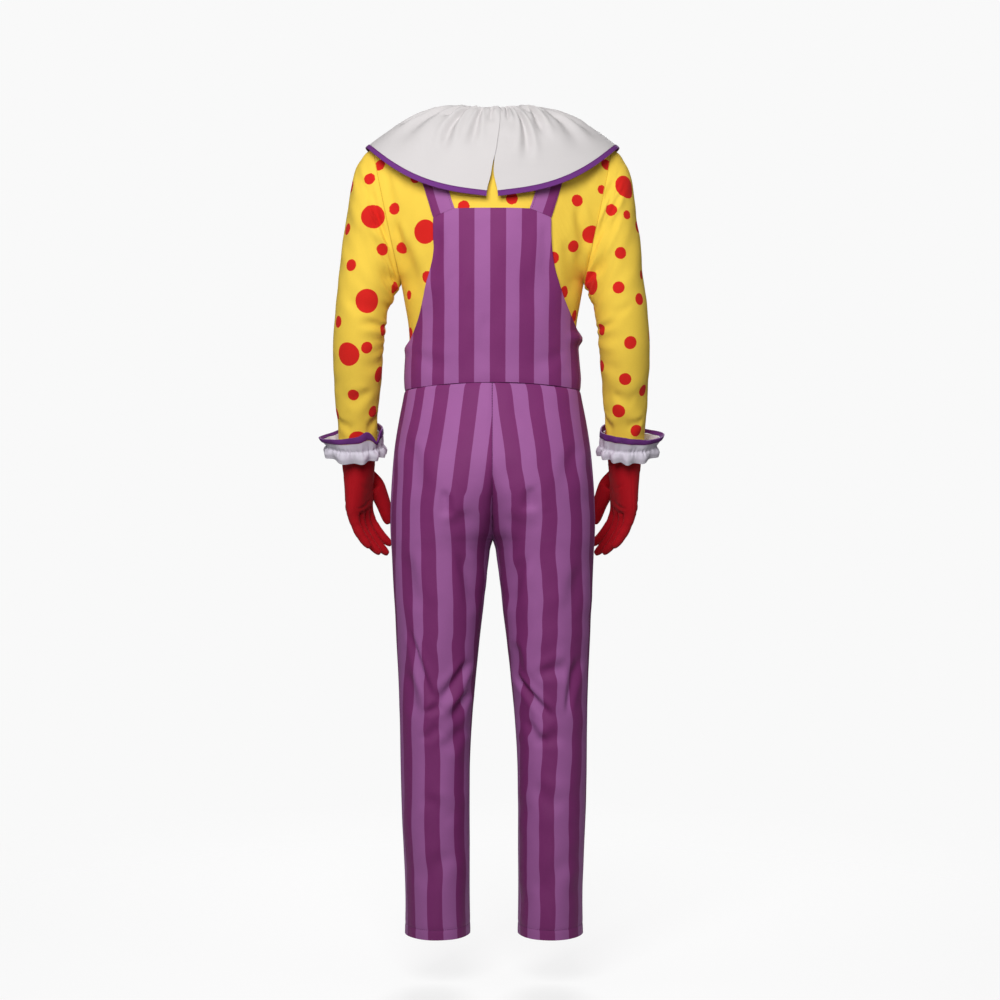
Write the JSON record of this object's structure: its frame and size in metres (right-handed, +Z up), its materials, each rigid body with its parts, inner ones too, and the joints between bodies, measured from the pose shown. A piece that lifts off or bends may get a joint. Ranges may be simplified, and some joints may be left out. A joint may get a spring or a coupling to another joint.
{
  "type": "clown costume",
  "caption": "Clown costume in its worn shape: dotted knit shirt with cape collar and wrist frills, striped dungarees with bibs and shoulder straps, and gloves.",
  "frame": {"origin": "middle of the neck opening, at the height of the collar's neck edge, where the costume hangs from its wearer", "axes": "+Z up along the standing wearer, +Y to the wearer's back, +X to the wearer's left"},
  "size_m": [0.6295, 0.2792, 1.4843],
  "materials": {
    "yellow_knit": "smooth matt polyester knit with printed red dots",
    "white_cloth": "light plain-woven polyester, slightly see-through, matt",
    "purple_tape": "folded satin-faced binding tape, low sheen",
    "purple_stripes": "plain-woven polyester in two purples, low sheen",
    "red_knit": "fine stretch knit, low sheen"
  },
  "bodies": {
    "root": {"shirt_front": "yellow_knit", "shirt_back": "yellow_knit", "sleeve_left": "yellow_knit", "sleeve_right": "yellow_knit", "collar": "white_cloth", "collar_binding": "purple_tape", "frill_left": "white_cloth", "frill_right": "white_cloth", "frill_binding_left": "purple_tape", "frill_binding_right": "purple_tape", "bib_back": "purple_stripes", "bib_front": "purple_stripes", "strap_left": "purple_stripes", "strap_right": "purple_stripes", "leg_back_left": "purple_stripes", "leg_back_right": "purple_stripes", "leg_front_left": "purple_stripes", "leg_front_right": "purple_stripes", "glove_left": "red_knit", "glove_right": "red_knit"}
  },
  "joints": []
}
